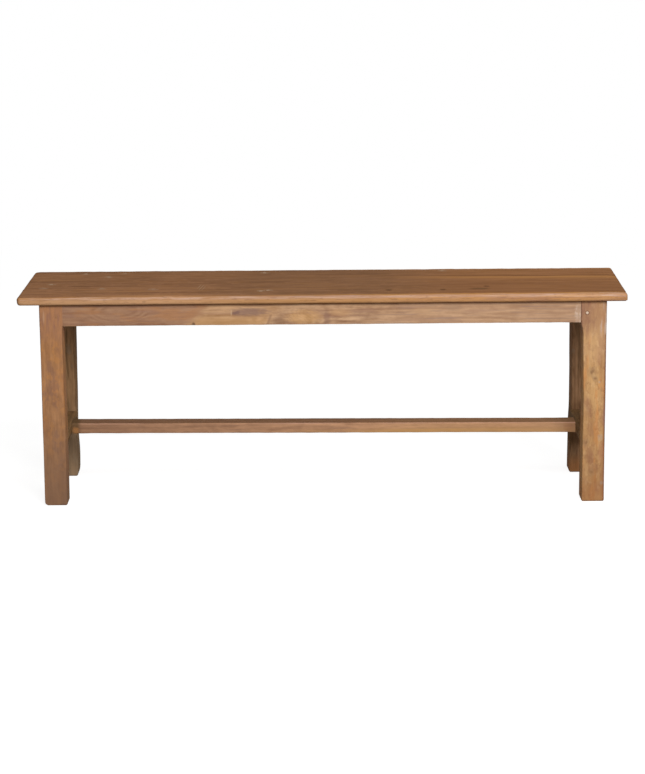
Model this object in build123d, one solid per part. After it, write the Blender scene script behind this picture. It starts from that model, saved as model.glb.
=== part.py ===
# Plank-top bench: one wide seat plank on a pegged mortise and tenon frame with four legs,
# four aprons, two end stretchers and one centre stretcher.
# Millimetres, +Z up, +X to the right, front towards -Y, origin on the floor under the middle.
from build123d import *
import os

# Whole bench
bench_length = 1300
bench_depth = 340
bench_height = 457

# Seat plank: overhangs are measured from the outer faces of the legs
seat_thickness = 18
seat_end_overhang = 47
seat_side_overhang = 10
seat_corner_radius = 9
# The plank's ends are out of square: each rear corner stands this far right of the front one
seat_end_skew = 4
seat_top_round = 7
seat_bottom_round = 4.5
# A rounded edge never takes more than these parts of the plank's thickness and corner radius
seat_round_limit_share = 0.42
seat_corner_limit_share = 0.9

# Old nail holes in the plank, as shares of half its length and half its depth
filled_hole_place_shares = [
    (-0.811, 0.747),
    (-0.728, 0.487),
    (-0.676, 0.750),
    (-0.909, -0.042),
    (-0.926, -0.338),
    (-0.734, -0.395),
    (-0.561, -0.474),
    (-0.198, 0.738),
    (-0.204, -0.649),
    (-0.181, -0.604),
    (0.411, 0.793),
]
open_hole_place_shares = [(0.395, -0.644), (0.217, -0.651), (0.542, -0.422)]
filled_hole_radius = 4
filled_hole_depth = 5
open_hole_radius = 1.9
open_hole_depth = 6

# Legs
leg_width = 50
leg_depth = 60
leg_arris_radius = 3
foot_chamfer = 2.5
# The chamfer under a foot never takes more than this part of the radius of the leg's arrises
foot_chamfer_limit_share = 0.9
# The head of the front right leg was left wider than the leg, and fades out below the apron
front_right_head_swell = 6
swell_fade_height = 20

# Aprons, flush with the outer faces of the legs
apron_height = 47
apron_thickness = 21
apron_arris_radius = 1.5

# Stretchers, laid flat; the end ones lie flush with the inner faces of the legs
end_stretcher_width = 44
centre_stretcher_width = 48
stretcher_height = 23.5
stretcher_floor_gap = 124
stretcher_arris_radius = 2
# The right end stretcher was set lower than the left one, and the centre one slopes with them
stretcher_right_drop = 5.5

# Tenons: lengths into the mortise, and the shoulders that step in from the rail's own faces
apron_tenon_length = 30
end_apron_tenon_length = 34
apron_tenon_thickness = 10
apron_tenon_bottom_shoulder = 4
apron_tenon_top_shoulder = 9
end_stretcher_tenon_length = 34
centre_stretcher_tenon_length = 26
stretcher_tenon_width = 26
stretcher_tenon_height = 12

# Pegs: the setback is from the shoulder of the tenon that each one holds, and the covers are
# the wood left beyond the tips of those that cross a leg's width or a stretcher's height
peg_radius = 3
peg_setback = 13.5
apron_peg_length = 30
end_stretcher_peg_cover = 6
centre_peg_cover = 4.5
peg_tip_chamfer = 0.8

# Seat buttons: wooden blocks with a tongue in a slot of the apron
button_width = 28
button_length = 26
button_height = 18
tongue_length = 8
tongue_height = 8
long_button_place_shares = {"left": -0.62, "middle": 0.0, "right": 0.62}

# Seat screws, slotted and countersunk: the cover is the wood left above the screw's point
screw_radius = 2.1
screw_head_radius = 4
screw_head_height = 2.6
screw_tip_height = 3
screw_point_radius = 0.6
screw_point_cover = 7
screw_slot_width = 1
screw_slot_depth = 1.1

# Fits
tenon_clearance = 0.15
mortise_end_gap = 1
peg_clearance = 0.08
plug_clearance = 0.08
screw_clearance = 0.1
cut_overrun = 1

# Places that follow from the sizes above
leg_outer_x = bench_length / 2 - seat_end_overhang
leg_inner_x = leg_outer_x - leg_width
leg_outer_y = bench_depth / 2 - seat_side_overhang
leg_inner_y = leg_outer_y - leg_depth
frame_top = bench_height - seat_thickness
apron_bottom = frame_top - apron_height
apron_up = (apron_bottom, frame_top)
apron_tenon_up = (apron_bottom + apron_tenon_bottom_shoulder, frame_top - apron_tenon_top_shoulder)

sides = {"left": -1, "right": 1}
ends = {"front": -1, "rear": 1}


def middle(limits):
    """Middle of a pair of limits."""
    return (limits[0] + limits[1]) / 2


def centred(centre, size):
    """Pair of limits of the given size around a centre."""
    return centre - size / 2, centre + size / 2


def grown(limits, amount):
    """The same limits moved outward by an amount at each end."""
    low, high = sorted(limits)
    return low - amount, high + amount


def block(x_limits, y_limits, z_limits):
    """Box between a pair of limits on each axis, given in either order."""
    limits = (x_limits, y_limits, z_limits)
    sizes = [abs(pair[1] - pair[0]) for pair in limits]
    return Pos(*[middle(pair) for pair in limits]) * Box(*sizes)


def bar(axis, along, across, up):
    """Box that runs along a horizontal axis, by its limits along, across and up."""
    if axis == "x":
        return block(along, across, up)
    return block(across, along, up)


def rod(start, direction, length, radius):
    """Round rod from a start point along a direction."""
    rod_plane = Plane(origin=start, z_dir=direction)
    return rod_plane * Cylinder(radius, length, align=(Align.CENTER, Align.CENTER, Align.MIN))


def head_swell(side, end):
    """How much wider than the leg its head is: only the front right leg has any."""
    if side > 0 and end < 0:
        return front_right_head_swell
    return 0


def shoulder_x(side, end):
    """Signed X of the inner face of a leg's head, where the long apron's shoulder meets it."""
    return side * (leg_inner_x - head_swell(side, end))


# Rails: each is a bar with a shouldered tenon at both ends

def long_apron_along(end):
    return shoulder_x(-1, end), shoulder_x(1, end)


def long_apron_across(end):
    return end * leg_outer_y, end * (leg_outer_y - apron_thickness)


def end_apron_across(side):
    return side * leg_outer_x, side * (leg_outer_x - apron_thickness)


def stretcher_up(side):
    """Limits up of the stretchers at one end of the bench."""
    low = stretcher_floor_gap - side * stretcher_right_drop / 2
    return low, low + stretcher_height


def stretcher_tenon_up(side):
    return centred(middle(stretcher_up(side)), stretcher_tenon_height)


def end_stretcher_across(side):
    return side * leg_inner_x, side * (leg_inner_x + end_stretcher_width)


def apron_tenon_across(apron_across):
    return centred(middle(apron_across), apron_tenon_thickness)


def stretcher_tenon_across(stretcher_across):
    return centred(middle(stretcher_across), stretcher_tenon_width)


end_rail_along = (-leg_inner_y, leg_inner_y)
centre_stretcher_along = (-leg_inner_x, leg_inner_x)
centre_stretcher_across = centred(0, centre_stretcher_width)


def tenoned_rail(axis, along, across, up, tenon_across, tenon_up, tenon_length, rounded, radius):
    """Rail with tenons: rounded says how many of its long arrises are eased, lowest first."""
    rail = bar(axis, along, across, up)
    long_axis = Axis.X if axis == "x" else Axis.Y
    arrises = rail.edges().filter_by(long_axis).sort_by(Axis.Z)[:rounded]
    rail = fillet(arrises, radius)
    return rail + bar(axis, grown(along, tenon_length), tenon_across, tenon_up)


def make_long_apron(end):
    across = long_apron_across(end)
    apron = tenoned_rail("x", long_apron_along(end), across, apron_up, apron_tenon_across(across),
                         apron_tenon_up, apron_tenon_length, 2, apron_arris_radius)
    for side in sides.values():
        apron -= apron_peg_form(side, end, peg_clearance)
    for share in long_button_place_shares.values():
        apron -= long_button_tongue(share, end, tenon_clearance)
    return apron


def make_end_apron(side):
    across = end_apron_across(side)
    apron = tenoned_rail("y", end_rail_along, across, apron_up, apron_tenon_across(across),
                         apron_tenon_up, end_apron_tenon_length, 2, apron_arris_radius)
    for end in ends.values():
        apron -= end_apron_peg_form(side, end, peg_clearance)
    return apron - end_button_tongue(side, tenon_clearance)


def make_end_stretcher(side):
    across = end_stretcher_across(side)
    stretcher = tenoned_rail("y", end_rail_along, across, stretcher_up(side),
                             stretcher_tenon_across(across), stretcher_tenon_up(side),
                             end_stretcher_tenon_length, 4, stretcher_arris_radius)
    for end in ends.values():
        stretcher -= end_stretcher_peg_form(side, end, peg_clearance)
    mortise_along = (side * leg_inner_x,
                     side * (leg_inner_x + centre_stretcher_tenon_length + mortise_end_gap))
    stretcher -= block(mortise_along,
                       grown(stretcher_tenon_across(centre_stretcher_across), tenon_clearance),
                       grown(stretcher_tenon_up(side), tenon_clearance))
    return stretcher - centre_peg_form(side, peg_clearance)


def make_centre_stretcher():
    """Sloping rail between the end stretchers, with level tenons in them."""
    left_x, right_x = centre_stretcher_along
    left_low, left_high = stretcher_up(-1)
    right_low, right_high = stretcher_up(1)
    corners = [(left_x, left_low), (right_x, right_low), (right_x, right_high),
               (left_x, left_high)]
    outline = Plane.XZ * make_face(Polyline(*corners, close=True))
    stretcher = extrude(outline, amount=centre_stretcher_width / 2, dir=(0, 1, 0), both=True)
    arrises = [edge for edge in stretcher.edges() if edge.length > leg_inner_x]
    stretcher = fillet(arrises, stretcher_arris_radius)
    for side in sides.values():
        tenon_along = (side * leg_inner_x, side * (leg_inner_x + centre_stretcher_tenon_length))
        stretcher += block(tenon_along, stretcher_tenon_across(centre_stretcher_across),
                           stretcher_tenon_up(side))
        stretcher -= centre_peg_form(side, peg_clearance)
    return stretcher


# Pegs: the same form, grown by its clearance, bores the leg and the tenon

def peg_form(start, direction, length, clearance):
    """Peg with an eased tip; with a clearance it is the bore that the peg is driven into."""
    peg = rod(start, direction, length + clearance, peg_radius + clearance)
    if clearance > 0:
        return peg
    tip = peg.faces().sort_by_distance(Vector(*start) + Vector(*direction) * length)[0]
    return chamfer(tip.edges(), peg_tip_chamfer)


def apron_peg_form(side, end, clearance):
    """Peg through the front or rear face of a leg into the long apron's tenon."""
    start = (shoulder_x(side, end) + side * peg_setback, end * leg_outer_y, middle(apron_tenon_up))
    return peg_form(start, (0, -end, 0), apron_peg_length, clearance)


def end_apron_peg_form(side, end, clearance):
    """Peg through the end face of a leg into the end apron's tenon."""
    start = (side * leg_outer_x, end * (leg_inner_y + peg_setback), middle(apron_tenon_up))
    return peg_form(start, (-side, 0, 0), apron_peg_length, clearance)


def end_stretcher_peg_form(side, end, clearance):
    """Peg through the end face of a leg into the end stretcher's tenon."""
    start = (side * leg_outer_x, end * (leg_inner_y + peg_setback), middle(stretcher_up(side)))
    return peg_form(start, (-side, 0, 0), leg_width - end_stretcher_peg_cover, clearance)


def centre_peg_form(side, clearance):
    """Peg up through the underside of an end stretcher into the centre stretcher's tenon."""
    start = (side * (leg_inner_x + peg_setback), 0, stretcher_up(side)[0])
    return peg_form(start, (0, 0, 1), stretcher_height - centre_peg_cover, clearance)


# Legs

def make_leg(side, end):
    """Leg with an eased shaft, a square head for the aprons, three mortises and three bores."""
    x_limits = (side * leg_inner_x, side * leg_outer_x)
    y_limits = (end * leg_inner_y, end * leg_outer_y)
    shaft = block(x_limits, y_limits, (0, apron_bottom))
    shaft = fillet(shaft.edges().filter_by(Axis.Z), leg_arris_radius)
    foot_cut = min(foot_chamfer, leg_arris_radius * foot_chamfer_limit_share)
    shaft = chamfer(shaft.faces().sort_by(Axis.Z)[0].edges(), foot_cut)
    head = block((shoulder_x(side, end), side * leg_outer_x), y_limits, apron_up)
    outer_corner = (side * leg_outer_x, end * leg_outer_y, middle(apron_up))
    outer_arris = head.edges().filter_by(Axis.Z).sort_by_distance(outer_corner)[0]
    leg = shaft + fillet(outer_arris, leg_arris_radius)
    swell = head_swell(side, end)
    if swell > 0:
        leg += make_swell_fade(side, end, swell)
    leg -= block((shoulder_x(side, end),
                  shoulder_x(side, end) + side * (apron_tenon_length + mortise_end_gap)),
                 grown(apron_tenon_across(long_apron_across(end)), tenon_clearance),
                 grown(apron_tenon_up, tenon_clearance))
    leg -= end_rail_mortise(end, apron_tenon_across(end_apron_across(side)), apron_tenon_up,
                            end_apron_tenon_length)
    leg -= end_rail_mortise(end, stretcher_tenon_across(end_stretcher_across(side)),
                            stretcher_tenon_up(side), end_stretcher_tenon_length)
    leg -= apron_peg_form(side, end, peg_clearance)
    leg -= end_apron_peg_form(side, end, peg_clearance)
    return leg - end_stretcher_peg_form(side, end, peg_clearance)


def make_swell_fade(side, end, swell):
    """Hollow curve that carries the wider head back to the leg below the apron."""
    y_start = min(end * leg_inner_y, end * leg_outer_y)
    inner_x = side * leg_inner_x
    foot = Vector(inner_x, y_start, apron_bottom - swell_fade_height)
    corner = Vector(inner_x, y_start, apron_bottom)
    tip = Vector(inner_x - side * swell, y_start, apron_bottom)
    outline = [TangentArc(foot, tip, tangent=(0, 0, 1)), Line(tip, corner), Line(corner, foot)]
    return extrude(make_face(outline), amount=leg_depth, dir=(0, 1, 0))


def end_rail_mortise(end, tenon_x, tenon_z, tenon_length):
    """Mortise cut from the inner side of a leg for a rail that runs from front to rear."""
    start = end * leg_inner_y
    return block(grown(tenon_x, tenon_clearance),
                 (start, start + end * (tenon_length + mortise_end_gap)),
                 grown(tenon_z, tenon_clearance))


# Seat buttons and screws

button_up = (frame_top - button_height, frame_top)
tongue_up = (frame_top - button_height, frame_top - button_height + tongue_height)


def long_button_x(share):
    return share * leg_inner_x


def apron_inner_y(end):
    return end * (leg_outer_y - apron_thickness)


def apron_inner_x(side):
    return side * (leg_outer_x - apron_thickness)


def long_button_tongue(share, end, clearance):
    """Tongue of a button on a long apron; with a clearance it is the slot."""
    reach = (apron_inner_y(end), apron_inner_y(end) + end * (tongue_length + clearance))
    width = grown(centred(long_button_x(share), button_width), clearance)
    return block(width, reach, grown(tongue_up, clearance))


def end_button_tongue(side, clearance):
    """Tongue of a button on an end apron; with a clearance it is the slot."""
    reach = (apron_inner_x(side), apron_inner_x(side) + side * (tongue_length + clearance))
    width = grown(centred(0, button_width), clearance)
    return block(reach, width, grown(tongue_up, clearance))


def long_button_screw_place(share, end):
    return long_button_x(share), apron_inner_y(end) - end * button_length / 2


def end_button_screw_place(side):
    return apron_inner_x(side) - side * button_length / 2, 0


def screw_form(place, clearance):
    """Countersunk screw up through a button; with a clearance it is the hole for it."""
    base = frame_top - button_height
    length = button_height + seat_thickness - screw_point_cover
    start = (place[0], place[1], base)
    shank = rod(start, (0, 0, 1), length - screw_tip_height + clearance, screw_radius + clearance)
    tip_base = Pos(place[0], place[1], base + length - screw_tip_height + clearance)
    tip = Cone(screw_radius + clearance, screw_point_radius, screw_tip_height,
               align=(Align.CENTER, Align.CENTER, Align.MIN))
    head = Cone(screw_head_radius + clearance, screw_radius + clearance, screw_head_height,
                align=(Align.CENTER, Align.CENTER, Align.MIN))
    return shank + tip_base * tip + Pos(*start) * head


def make_screw(place):
    """Screw with its slot across the head."""
    slot = block(centred(place[0], 2 * screw_head_radius + cut_overrun),
                 centred(place[1], screw_slot_width),
                 (frame_top - button_height, frame_top - button_height + screw_slot_depth))
    return screw_form(place, 0) - slot


def make_long_button(share, end):
    inner = apron_inner_y(end)
    body = block(centred(long_button_x(share), button_width),
                 (inner, inner - end * button_length), button_up)
    body += long_button_tongue(share, end, 0)
    return body - screw_form(long_button_screw_place(share, end), screw_clearance)


def make_end_button(side):
    inner = apron_inner_x(side)
    body = block((inner, inner - side * button_length), centred(0, button_width), button_up)
    body += end_button_tongue(side, 0)
    return body - screw_form(end_button_screw_place(side), screw_clearance)


# Seat

def hole_place(shares):
    return shares[0] * bench_length / 2, shares[1] * bench_depth / 2


def hole_form(shares, depth, radius):
    """Old nail hole, or the plug in it, from the top face down."""
    place = hole_place(shares)
    return rod((place[0], place[1], bench_height), (0, 0, -1), depth, radius)


def make_plank():
    """Plank with sharp edges and skewed ends."""
    end_x = bench_length / 2
    side_y = bench_depth / 2
    corners = [(-end_x, -side_y), (end_x - seat_end_skew, -side_y), (end_x, side_y),
               (seat_end_skew - end_x, side_y)]
    outline = make_face(Polyline(*corners, close=True))
    return Pos(0, 0, frame_top) * extrude(outline, amount=seat_thickness, dir=(0, 0, 1))


def make_seat(screw_places):
    round_limit = min(seat_thickness * seat_round_limit_share,
                      seat_corner_radius * seat_corner_limit_share)
    seat = make_plank()
    seat = fillet(seat.edges().filter_by(Axis.Z), seat_corner_radius)
    top_round = min(seat_top_round, round_limit)
    seat = fillet(seat.faces().sort_by(Axis.Z)[-1].edges(), top_round)
    bottom_round = min(seat_bottom_round, round_limit)
    seat = fillet(seat.faces().sort_by(Axis.Z)[0].edges(), bottom_round)
    for shares in filled_hole_place_shares:
        seat -= hole_form(shares, filled_hole_depth, filled_hole_radius)
    for shares in open_hole_place_shares:
        seat -= hole_form(shares, open_hole_depth, open_hole_radius)
    for place in screw_places:
        seat -= screw_form(place, screw_clearance)
    return seat


def make_plugs():
    plugs = []
    for shares in filled_hole_place_shares:
        plugs.append(hole_form(shares, filled_hole_depth, filled_hole_radius - plug_clearance))
    return Compound(children=plugs)


# The bench, node by node
nodes = {}
screw_places = {}

for end_name, end in ends.items():
    nodes[f"{end_name}_apron"] = make_long_apron(end)
    for place_name, share in long_button_place_shares.items():
        button_name = f"{end_name}_{place_name}"
        nodes[f"seat_button_{button_name}"] = make_long_button(share, end)
        screw_places[button_name] = long_button_screw_place(share, end)
    for side_name, side in sides.items():
        nodes[f"{end_name}_{side_name}_leg"] = make_leg(side, end)
        nodes[f"{end_name}_apron_{side_name}_peg"] = apron_peg_form(side, end, 0)
        nodes[f"{side_name}_end_apron_{end_name}_peg"] = end_apron_peg_form(side, end, 0)
        nodes[f"{side_name}_end_stretcher_{end_name}_peg"] = end_stretcher_peg_form(side, end, 0)

for side_name, side in sides.items():
    nodes[f"{side_name}_end_apron"] = make_end_apron(side)
    nodes[f"{side_name}_end_stretcher"] = make_end_stretcher(side)
    nodes[f"centre_stretcher_{side_name}_peg"] = centre_peg_form(side, 0)
    nodes[f"seat_button_{side_name}_end"] = make_end_button(side)
    screw_places[f"{side_name}_end"] = end_button_screw_place(side)

nodes["centre_stretcher"] = make_centre_stretcher()
nodes["seat_plank"] = make_seat(screw_places.values())
nodes["seat_hole_plugs"] = make_plugs()
for screw_name, place in screw_places.items():
    nodes[f"seat_screw_{screw_name}"] = make_screw(place)

os.makedirs("parts", exist_ok=True)
for node_name, solid in nodes.items():
    export_step(solid, f"parts/{node_name}.step")
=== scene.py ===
import math

import bmesh
import bpy
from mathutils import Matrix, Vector


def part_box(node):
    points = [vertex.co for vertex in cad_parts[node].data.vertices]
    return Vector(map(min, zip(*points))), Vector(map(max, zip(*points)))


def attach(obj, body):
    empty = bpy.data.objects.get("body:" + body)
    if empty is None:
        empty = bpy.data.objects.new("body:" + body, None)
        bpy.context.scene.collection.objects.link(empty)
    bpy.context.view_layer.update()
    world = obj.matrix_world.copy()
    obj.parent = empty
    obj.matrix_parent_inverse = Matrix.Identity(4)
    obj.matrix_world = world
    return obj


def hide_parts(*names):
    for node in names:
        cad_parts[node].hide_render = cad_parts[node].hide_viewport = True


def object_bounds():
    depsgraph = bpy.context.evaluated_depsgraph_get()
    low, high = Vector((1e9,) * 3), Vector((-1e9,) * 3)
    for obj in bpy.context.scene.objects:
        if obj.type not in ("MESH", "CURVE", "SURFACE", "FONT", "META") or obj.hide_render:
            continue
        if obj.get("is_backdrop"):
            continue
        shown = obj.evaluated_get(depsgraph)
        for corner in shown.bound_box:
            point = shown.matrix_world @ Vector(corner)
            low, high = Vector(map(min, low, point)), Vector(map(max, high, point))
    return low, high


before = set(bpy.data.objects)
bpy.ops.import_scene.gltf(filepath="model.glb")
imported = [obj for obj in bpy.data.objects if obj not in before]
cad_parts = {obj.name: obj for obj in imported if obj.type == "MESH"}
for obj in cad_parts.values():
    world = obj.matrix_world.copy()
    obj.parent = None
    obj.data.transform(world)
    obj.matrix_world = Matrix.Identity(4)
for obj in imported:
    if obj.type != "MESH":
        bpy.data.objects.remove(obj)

cad_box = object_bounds()

# Legs. Four straight posts sawn from old hardwood, planed and waxed, each with three blind
# mortises for the rails and three bores for their pegs. Arrises and feet are worn round, and
# the head of the front right one was left wider than the post.

# X runs along the bench to the right, Y from front to rear and Z up
X, Y, Z = 0, 1, 2
SIDES = {"left": -1, "right": 1}
ENDS = {"front": -1, "rear": 1}

# Points closer to a face than a hair count as on it
hair = 1e-4

leg_arris = 0.003
leg_foot_arris = 0.0024
worn_foot_arris = 0.0085
leg_row = 0.0065
leg_wander = 0.0009
leg_wear = 0.0016
head_swell = 0.006
joint_fit = 0.00015
mortise_end = 0.001
tool_over = 0.002
bore_over = 0.004
smooth_angle = math.radians(38)

peg_bore = 0.00312
peg_setback = 0.0135
apron_peg_reach = 0.0301
stretcher_peg_reach = 0.0441
apron_tenon_length = 0.03
end_tenon_length = 0.034
apron_tenon_thickness = 0.01
apron_tenon_shoulders = (0.004, 0.009)
stretcher_tenon_width = 0.026
stretcher_tenon_height = 0.012


def seen(colour):
    """A colour as it looks on a screen, from 0 to 255 each, as a shader wants it."""
    return tuple((value / 255) ** 2.2 for value in colour) + (1.0,)


def by_math(operation, turned=False):
    """A sum on tones that adds a math node, its two inputs turned round if asked."""
    def work(self, other=0.0):
        first, second = (other, self) if turned else (self, other)
        return self.finish.node("Math", {0: first, 1: second}, operation=operation)
    return work


class Tone:
    """An output of a node. Sums with tones and numbers add their nodes."""

    __add__ = by_math("ADD")
    __sub__ = by_math("SUBTRACT")
    __rsub__ = by_math("SUBTRACT", True)
    __mul__ = by_math("MULTIPLY")
    __pow__ = by_math("POWER")
    most = by_math("MAXIMUM")
    size = by_math("ABSOLUTE")
    sine = by_math("SINE")

    def __init__(self, finish, socket):
        self.finish = finish
        self.socket = socket

    def wave(self):
        """A wave from 0 to 1 that repeats each time the tone grows by 1."""
        return (self * (2 * math.pi)).sine() * 0.5 + 0.5

    def ramp(self, low, high):
        """0 below low, 1 above high, smooth between them."""
        sockets = {0: self, 1: low, 2: high, 3: 0.0, 4: 1.0}
        return self.finish.node("MapRange", sockets, interpolation_type="SMOOTHSTEP")

    def fall(self, low, high):
        """1 below low, 0 above high, smooth between them."""
        return 1 - self.ramp(low, high)


class Finish:
    """The nodes of a material or of the surround."""

    def __init__(self, owner):
        owner.use_nodes = True
        self.owner = owner
        self.tree = owner.node_tree
        self.tree.nodes.clear()

    def node(self, kind, sockets, output=0, **settings):
        """Adds a node, with values or links in its sockets."""
        node = self.tree.nodes.new("ShaderNode" + kind)
        for name, value in settings.items():
            setattr(node, name, value)
        for name, value in sockets.items():
            if isinstance(value, Tone):
                self.tree.links.new(value.socket, node.inputs[name])
            else:
                node.inputs[name].default_value = value
        return Tone(self, node.outputs[output]) if node.outputs else None

    def mix(self, amount, first, second):
        """Mixes a second colour into a first, which may be a tone."""
        if not isinstance(first, Tone):
            first = seen(first)
        sockets = {0: amount, 6: first, 7: seen(second)}
        return self.node("Mix", sockets, 2, data_type="RGBA")


class Wood(Finish):
    """Waxed wood with its grain along one axis of the bench."""

    def __init__(self, name, along, shift):
        super().__init__(bpy.data.materials.new(name))
        place = self.node("TexCoord", {}, "Object")
        self.axes = [self.node("SeparateXYZ", {0: place}, axis) for axis in range(3)]
        self.length = self.axes[along]
        self.side, self.rise = [self.axes[axis] for axis in range(3) if axis != along]
        self.grain = self.node("CombineXYZ", {0: self.length + shift, 1: self.side + shift, 2: self.rise})

    def streaks(self, long_size, cross_size, detail=3.0, lively=0.5):
        """Noise around 0, in streaks along the grain of about these sizes."""
        factors = (1 / long_size, 1 / cross_size, 1 / cross_size)
        vector = self.node("VectorMath", {0: self.grain, 1: factors}, operation="MULTIPLY")
        sockets = {"Vector": vector, "Scale": 1.0, "Detail": detail, "Roughness": lively}
        return self.node("TexNoise", sockets) - 0.5

    def spot(self, place, radii, ragged=0.0):
        """1 in the middle of a rounded patch, 0 at its radii."""
        reach = 0.0
        for axis in range(3):
            if radii[axis] is not None:
                reach = ((self.axes[axis] - place[axis]) * (1 / radii[axis])) ** 2 + reach
        if ragged:
            reach = reach + self.streaks(0.012, 0.004) * ragged
        return reach.fall(0.0, 1.0)

    def lay_grain(self, pale, deep, pith, lean, ring, show=0.15, swirl=0.006, bends=(), broad=1.0):
        """Growth rings round a leaning heart, with bands, mottle, fibre and pores."""
        warp = self.streaks(0.3, 0.05, 2.0) * (3 * swirl)
        drift = self.streaks(0.11, 0.03, 2.0) * (2 * swirl)
        side = self.side - pith[0] + self.length * lean[0] + warp
        rise = self.rise - pith[1] + self.length * lean[1] + drift
        reach = (side * side + rise * rise) ** 0.5
        for spot, rings_wide in bends:
            reach = reach + spot * (rings_wide * ring)
        rings = (reach * (1 / ring)).wave()
        fibre = self.streaks(0.045, 0.0013, 3.0, 0.65)
        ribbon = self.streaks(0.13, 0.005 * broad)
        mottle = self.streaks(0.03 * broad, 0.011 * broad, 3.0, 0.6)
        pores = self.streaks(0.014, 0.00045, 1.0).ramp(0.1, 0.24)
        faded = self.streaks(0.07, 0.02, 2.0).ramp(-0.12, 0.14)
        band = self.streaks(0.4, 0.02 * broad, 2.0)
        tone = (rings - 0.5) * faded * show + fibre * 0.5 + ribbon * 0.6
        tone = tone + mottle * 0.9 + band * 0.8 + pores * 0.12 + 0.5
        self.colour = self.mix(tone.ramp(0.0, 1.0), pale, deep)
        self.height = fibre * 0.5 + ribbon * 0.4 - rings * 0.2 - pores * 0.5
        self.roughness = fibre * 0.35 + mottle * 0.25 + 0.52

    def tint(self, amount, colour):
        self.colour = self.mix(amount, self.colour, colour)

    def zone(self, long_size, cross_size, low, high, strength, colour):
        """Patches that the tree grew or that the years left."""
        patches = self.streaks(long_size, cross_size, 3.0, 0.6).ramp(low, high)
        self.tint(patches * strength, colour)

    def marks(self, middle_y, depth, ragged, rows):
        """Patches on a front face: X, Z, both radii, strength and colour of each."""
        for x, z, width, height, strength, colour in rows:
            patch = self.spot((x, middle_y, z), (width, depth, height), ragged)
            self.tint(patch * strength, colour)

    def knot(self, place, radius, collar_colour, eye_colour):
        """A knot: a dark eye in a paler collar."""
        collar = self.spot(place, (2.4 * radius,) * 3, 1.8)
        eye = self.spot(place, (radius,) * 3, 2.2)
        self.tint(collar * 0.5, collar_colour)
        self.tint(eye * 0.55, eye_colour)
        self.height = self.height - eye * 0.6

    def arris(self, low, high, width, axes):
        """1 on the arrises between two pairs of faces, 0 a width inside."""
        gaps = []
        for axis in axes:
            centre = (low[axis] + high[axis]) / 2
            gaps.append((high[axis] - low[axis]) / 2 - (self.axes[axis] - centre).size())
        reach = gaps[0].most(gaps[1])
        return (reach + self.streaks(0.03, 0.01) * (2 * width)).fall(0.0, width)

    def finish(self, bump=0.3, wax=0.04):
        """Joins the colour, the relief and the wax to the surface."""
        relief = self.node("Bump", {"Strength": bump, "Distance": 0.0012, "Height": self.height})
        surface = self.node("BsdfPrincipled",
                            {"Base Color": self.colour, "Roughness": self.roughness,
                             "Specular IOR Level": 0.0, "Coat Weight": wax,
                             "Coat Roughness": 0.4, "Normal": relief})
        self.node("OutputMaterial", {0: surface})
        return self.owner


def choose(*pieces):
    """Selects these pieces alone and makes the first one active."""
    bpy.ops.object.select_all(action="DESELECT")
    for piece in pieces:
        piece.select_set(True)
    bpy.context.view_layer.objects.active = pieces[0]


def settle():
    """Works the place, turn and scale of the chosen piece into its mesh."""
    bpy.ops.object.transform_apply(location=True, rotation=True, scale=True)


def start_block(name, low, high):
    """A block of wood between two corners, left in edit mode."""
    bpy.ops.mesh.primitive_cube_add(size=1, location=(low + high) / 2, scale=high - low)
    piece = bpy.context.object
    piece.name = name
    settle()
    bpy.ops.object.mode_set(mode="EDIT")
    return piece


def pick(piece, kind, test):
    """Selects the faces, edges or vertices that pass a test."""
    bpy.ops.mesh.select_mode(type=kind)
    bpy.ops.mesh.select_all(action="DESELECT")
    mesh = bmesh.from_edit_mesh(piece.data)
    if kind == "FACE":
        chosen = [face for face in mesh.faces if test(face.calc_center_median())]
    elif kind == "EDGE":
        chosen = []
        for edge in mesh.edges:
            first, second = (vertex.co for vertex in edge.verts)
            if test((first + second) / 2, second - first):
                chosen.append(edge)
    else:
        chosen = [vertex for vertex in mesh.verts if test(vertex.co)]
    for part in chosen:
        part.select_set(True)
    mesh.select_flush_mode()
    bmesh.update_edit_mesh(piece.data)


def runs_along(line, axis):
    """True where an edge is parallel to an axis."""
    return abs(line[axis]) > 0.999 * line.length


def ease(piece, test, radius, segments):
    """Rounds the edges that pass a test."""
    pick(piece, "EDGE", test)
    bpy.ops.mesh.bevel(offset=radius, segments=segments, profile=0.5, affect="EDGES")


def even_places(low, high, row):
    """Places that part the way between two limits into even rows."""
    count = max(1, round((high - low) / row))
    return [low + (high - low) * step / count for step in range(1, count)]


def slice_at(axis, places):
    """Cuts across the piece in edit mode at places on an axis, and keeps both sides."""
    for place in places:
        point, normal = Vector(), Vector()
        point[axis], normal[axis] = place, 1
        bpy.ops.mesh.select_all(action="SELECT")
        bpy.ops.mesh.bisect(plane_co=point, plane_no=normal, threshold=1e-6)


def end_block():
    """Leaves edit mode with every face turned outward."""
    bpy.ops.mesh.select_all(action="SELECT")
    bpy.ops.mesh.normals_make_consistent(inside=False)
    bpy.ops.object.mode_set(mode="OBJECT")


def weather(piece, size, depth, weight):
    """Sinks the surface unevenly, at most by a depth times the weight."""
    cloud = bpy.data.textures.new(f"{piece.name}_weather", "CLOUDS")
    cloud.noise_scale = size
    cloud.noise_depth = 2
    group = piece.vertex_groups.new(name="weather")
    for vertex in piece.data.vertices:
        group.add([vertex.index], weight(vertex.co), "REPLACE")
    change = piece.modifiers.new("weather", "DISPLACE")
    change.texture = cloud
    change.texture_coords = "LOCAL"
    change.mid_level = 1.0
    change.strength = depth
    change.vertex_group = group.name
    choose(piece)
    bpy.ops.object.modifier_apply(modifier=change.name)
    piece.vertex_groups.clear()


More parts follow.
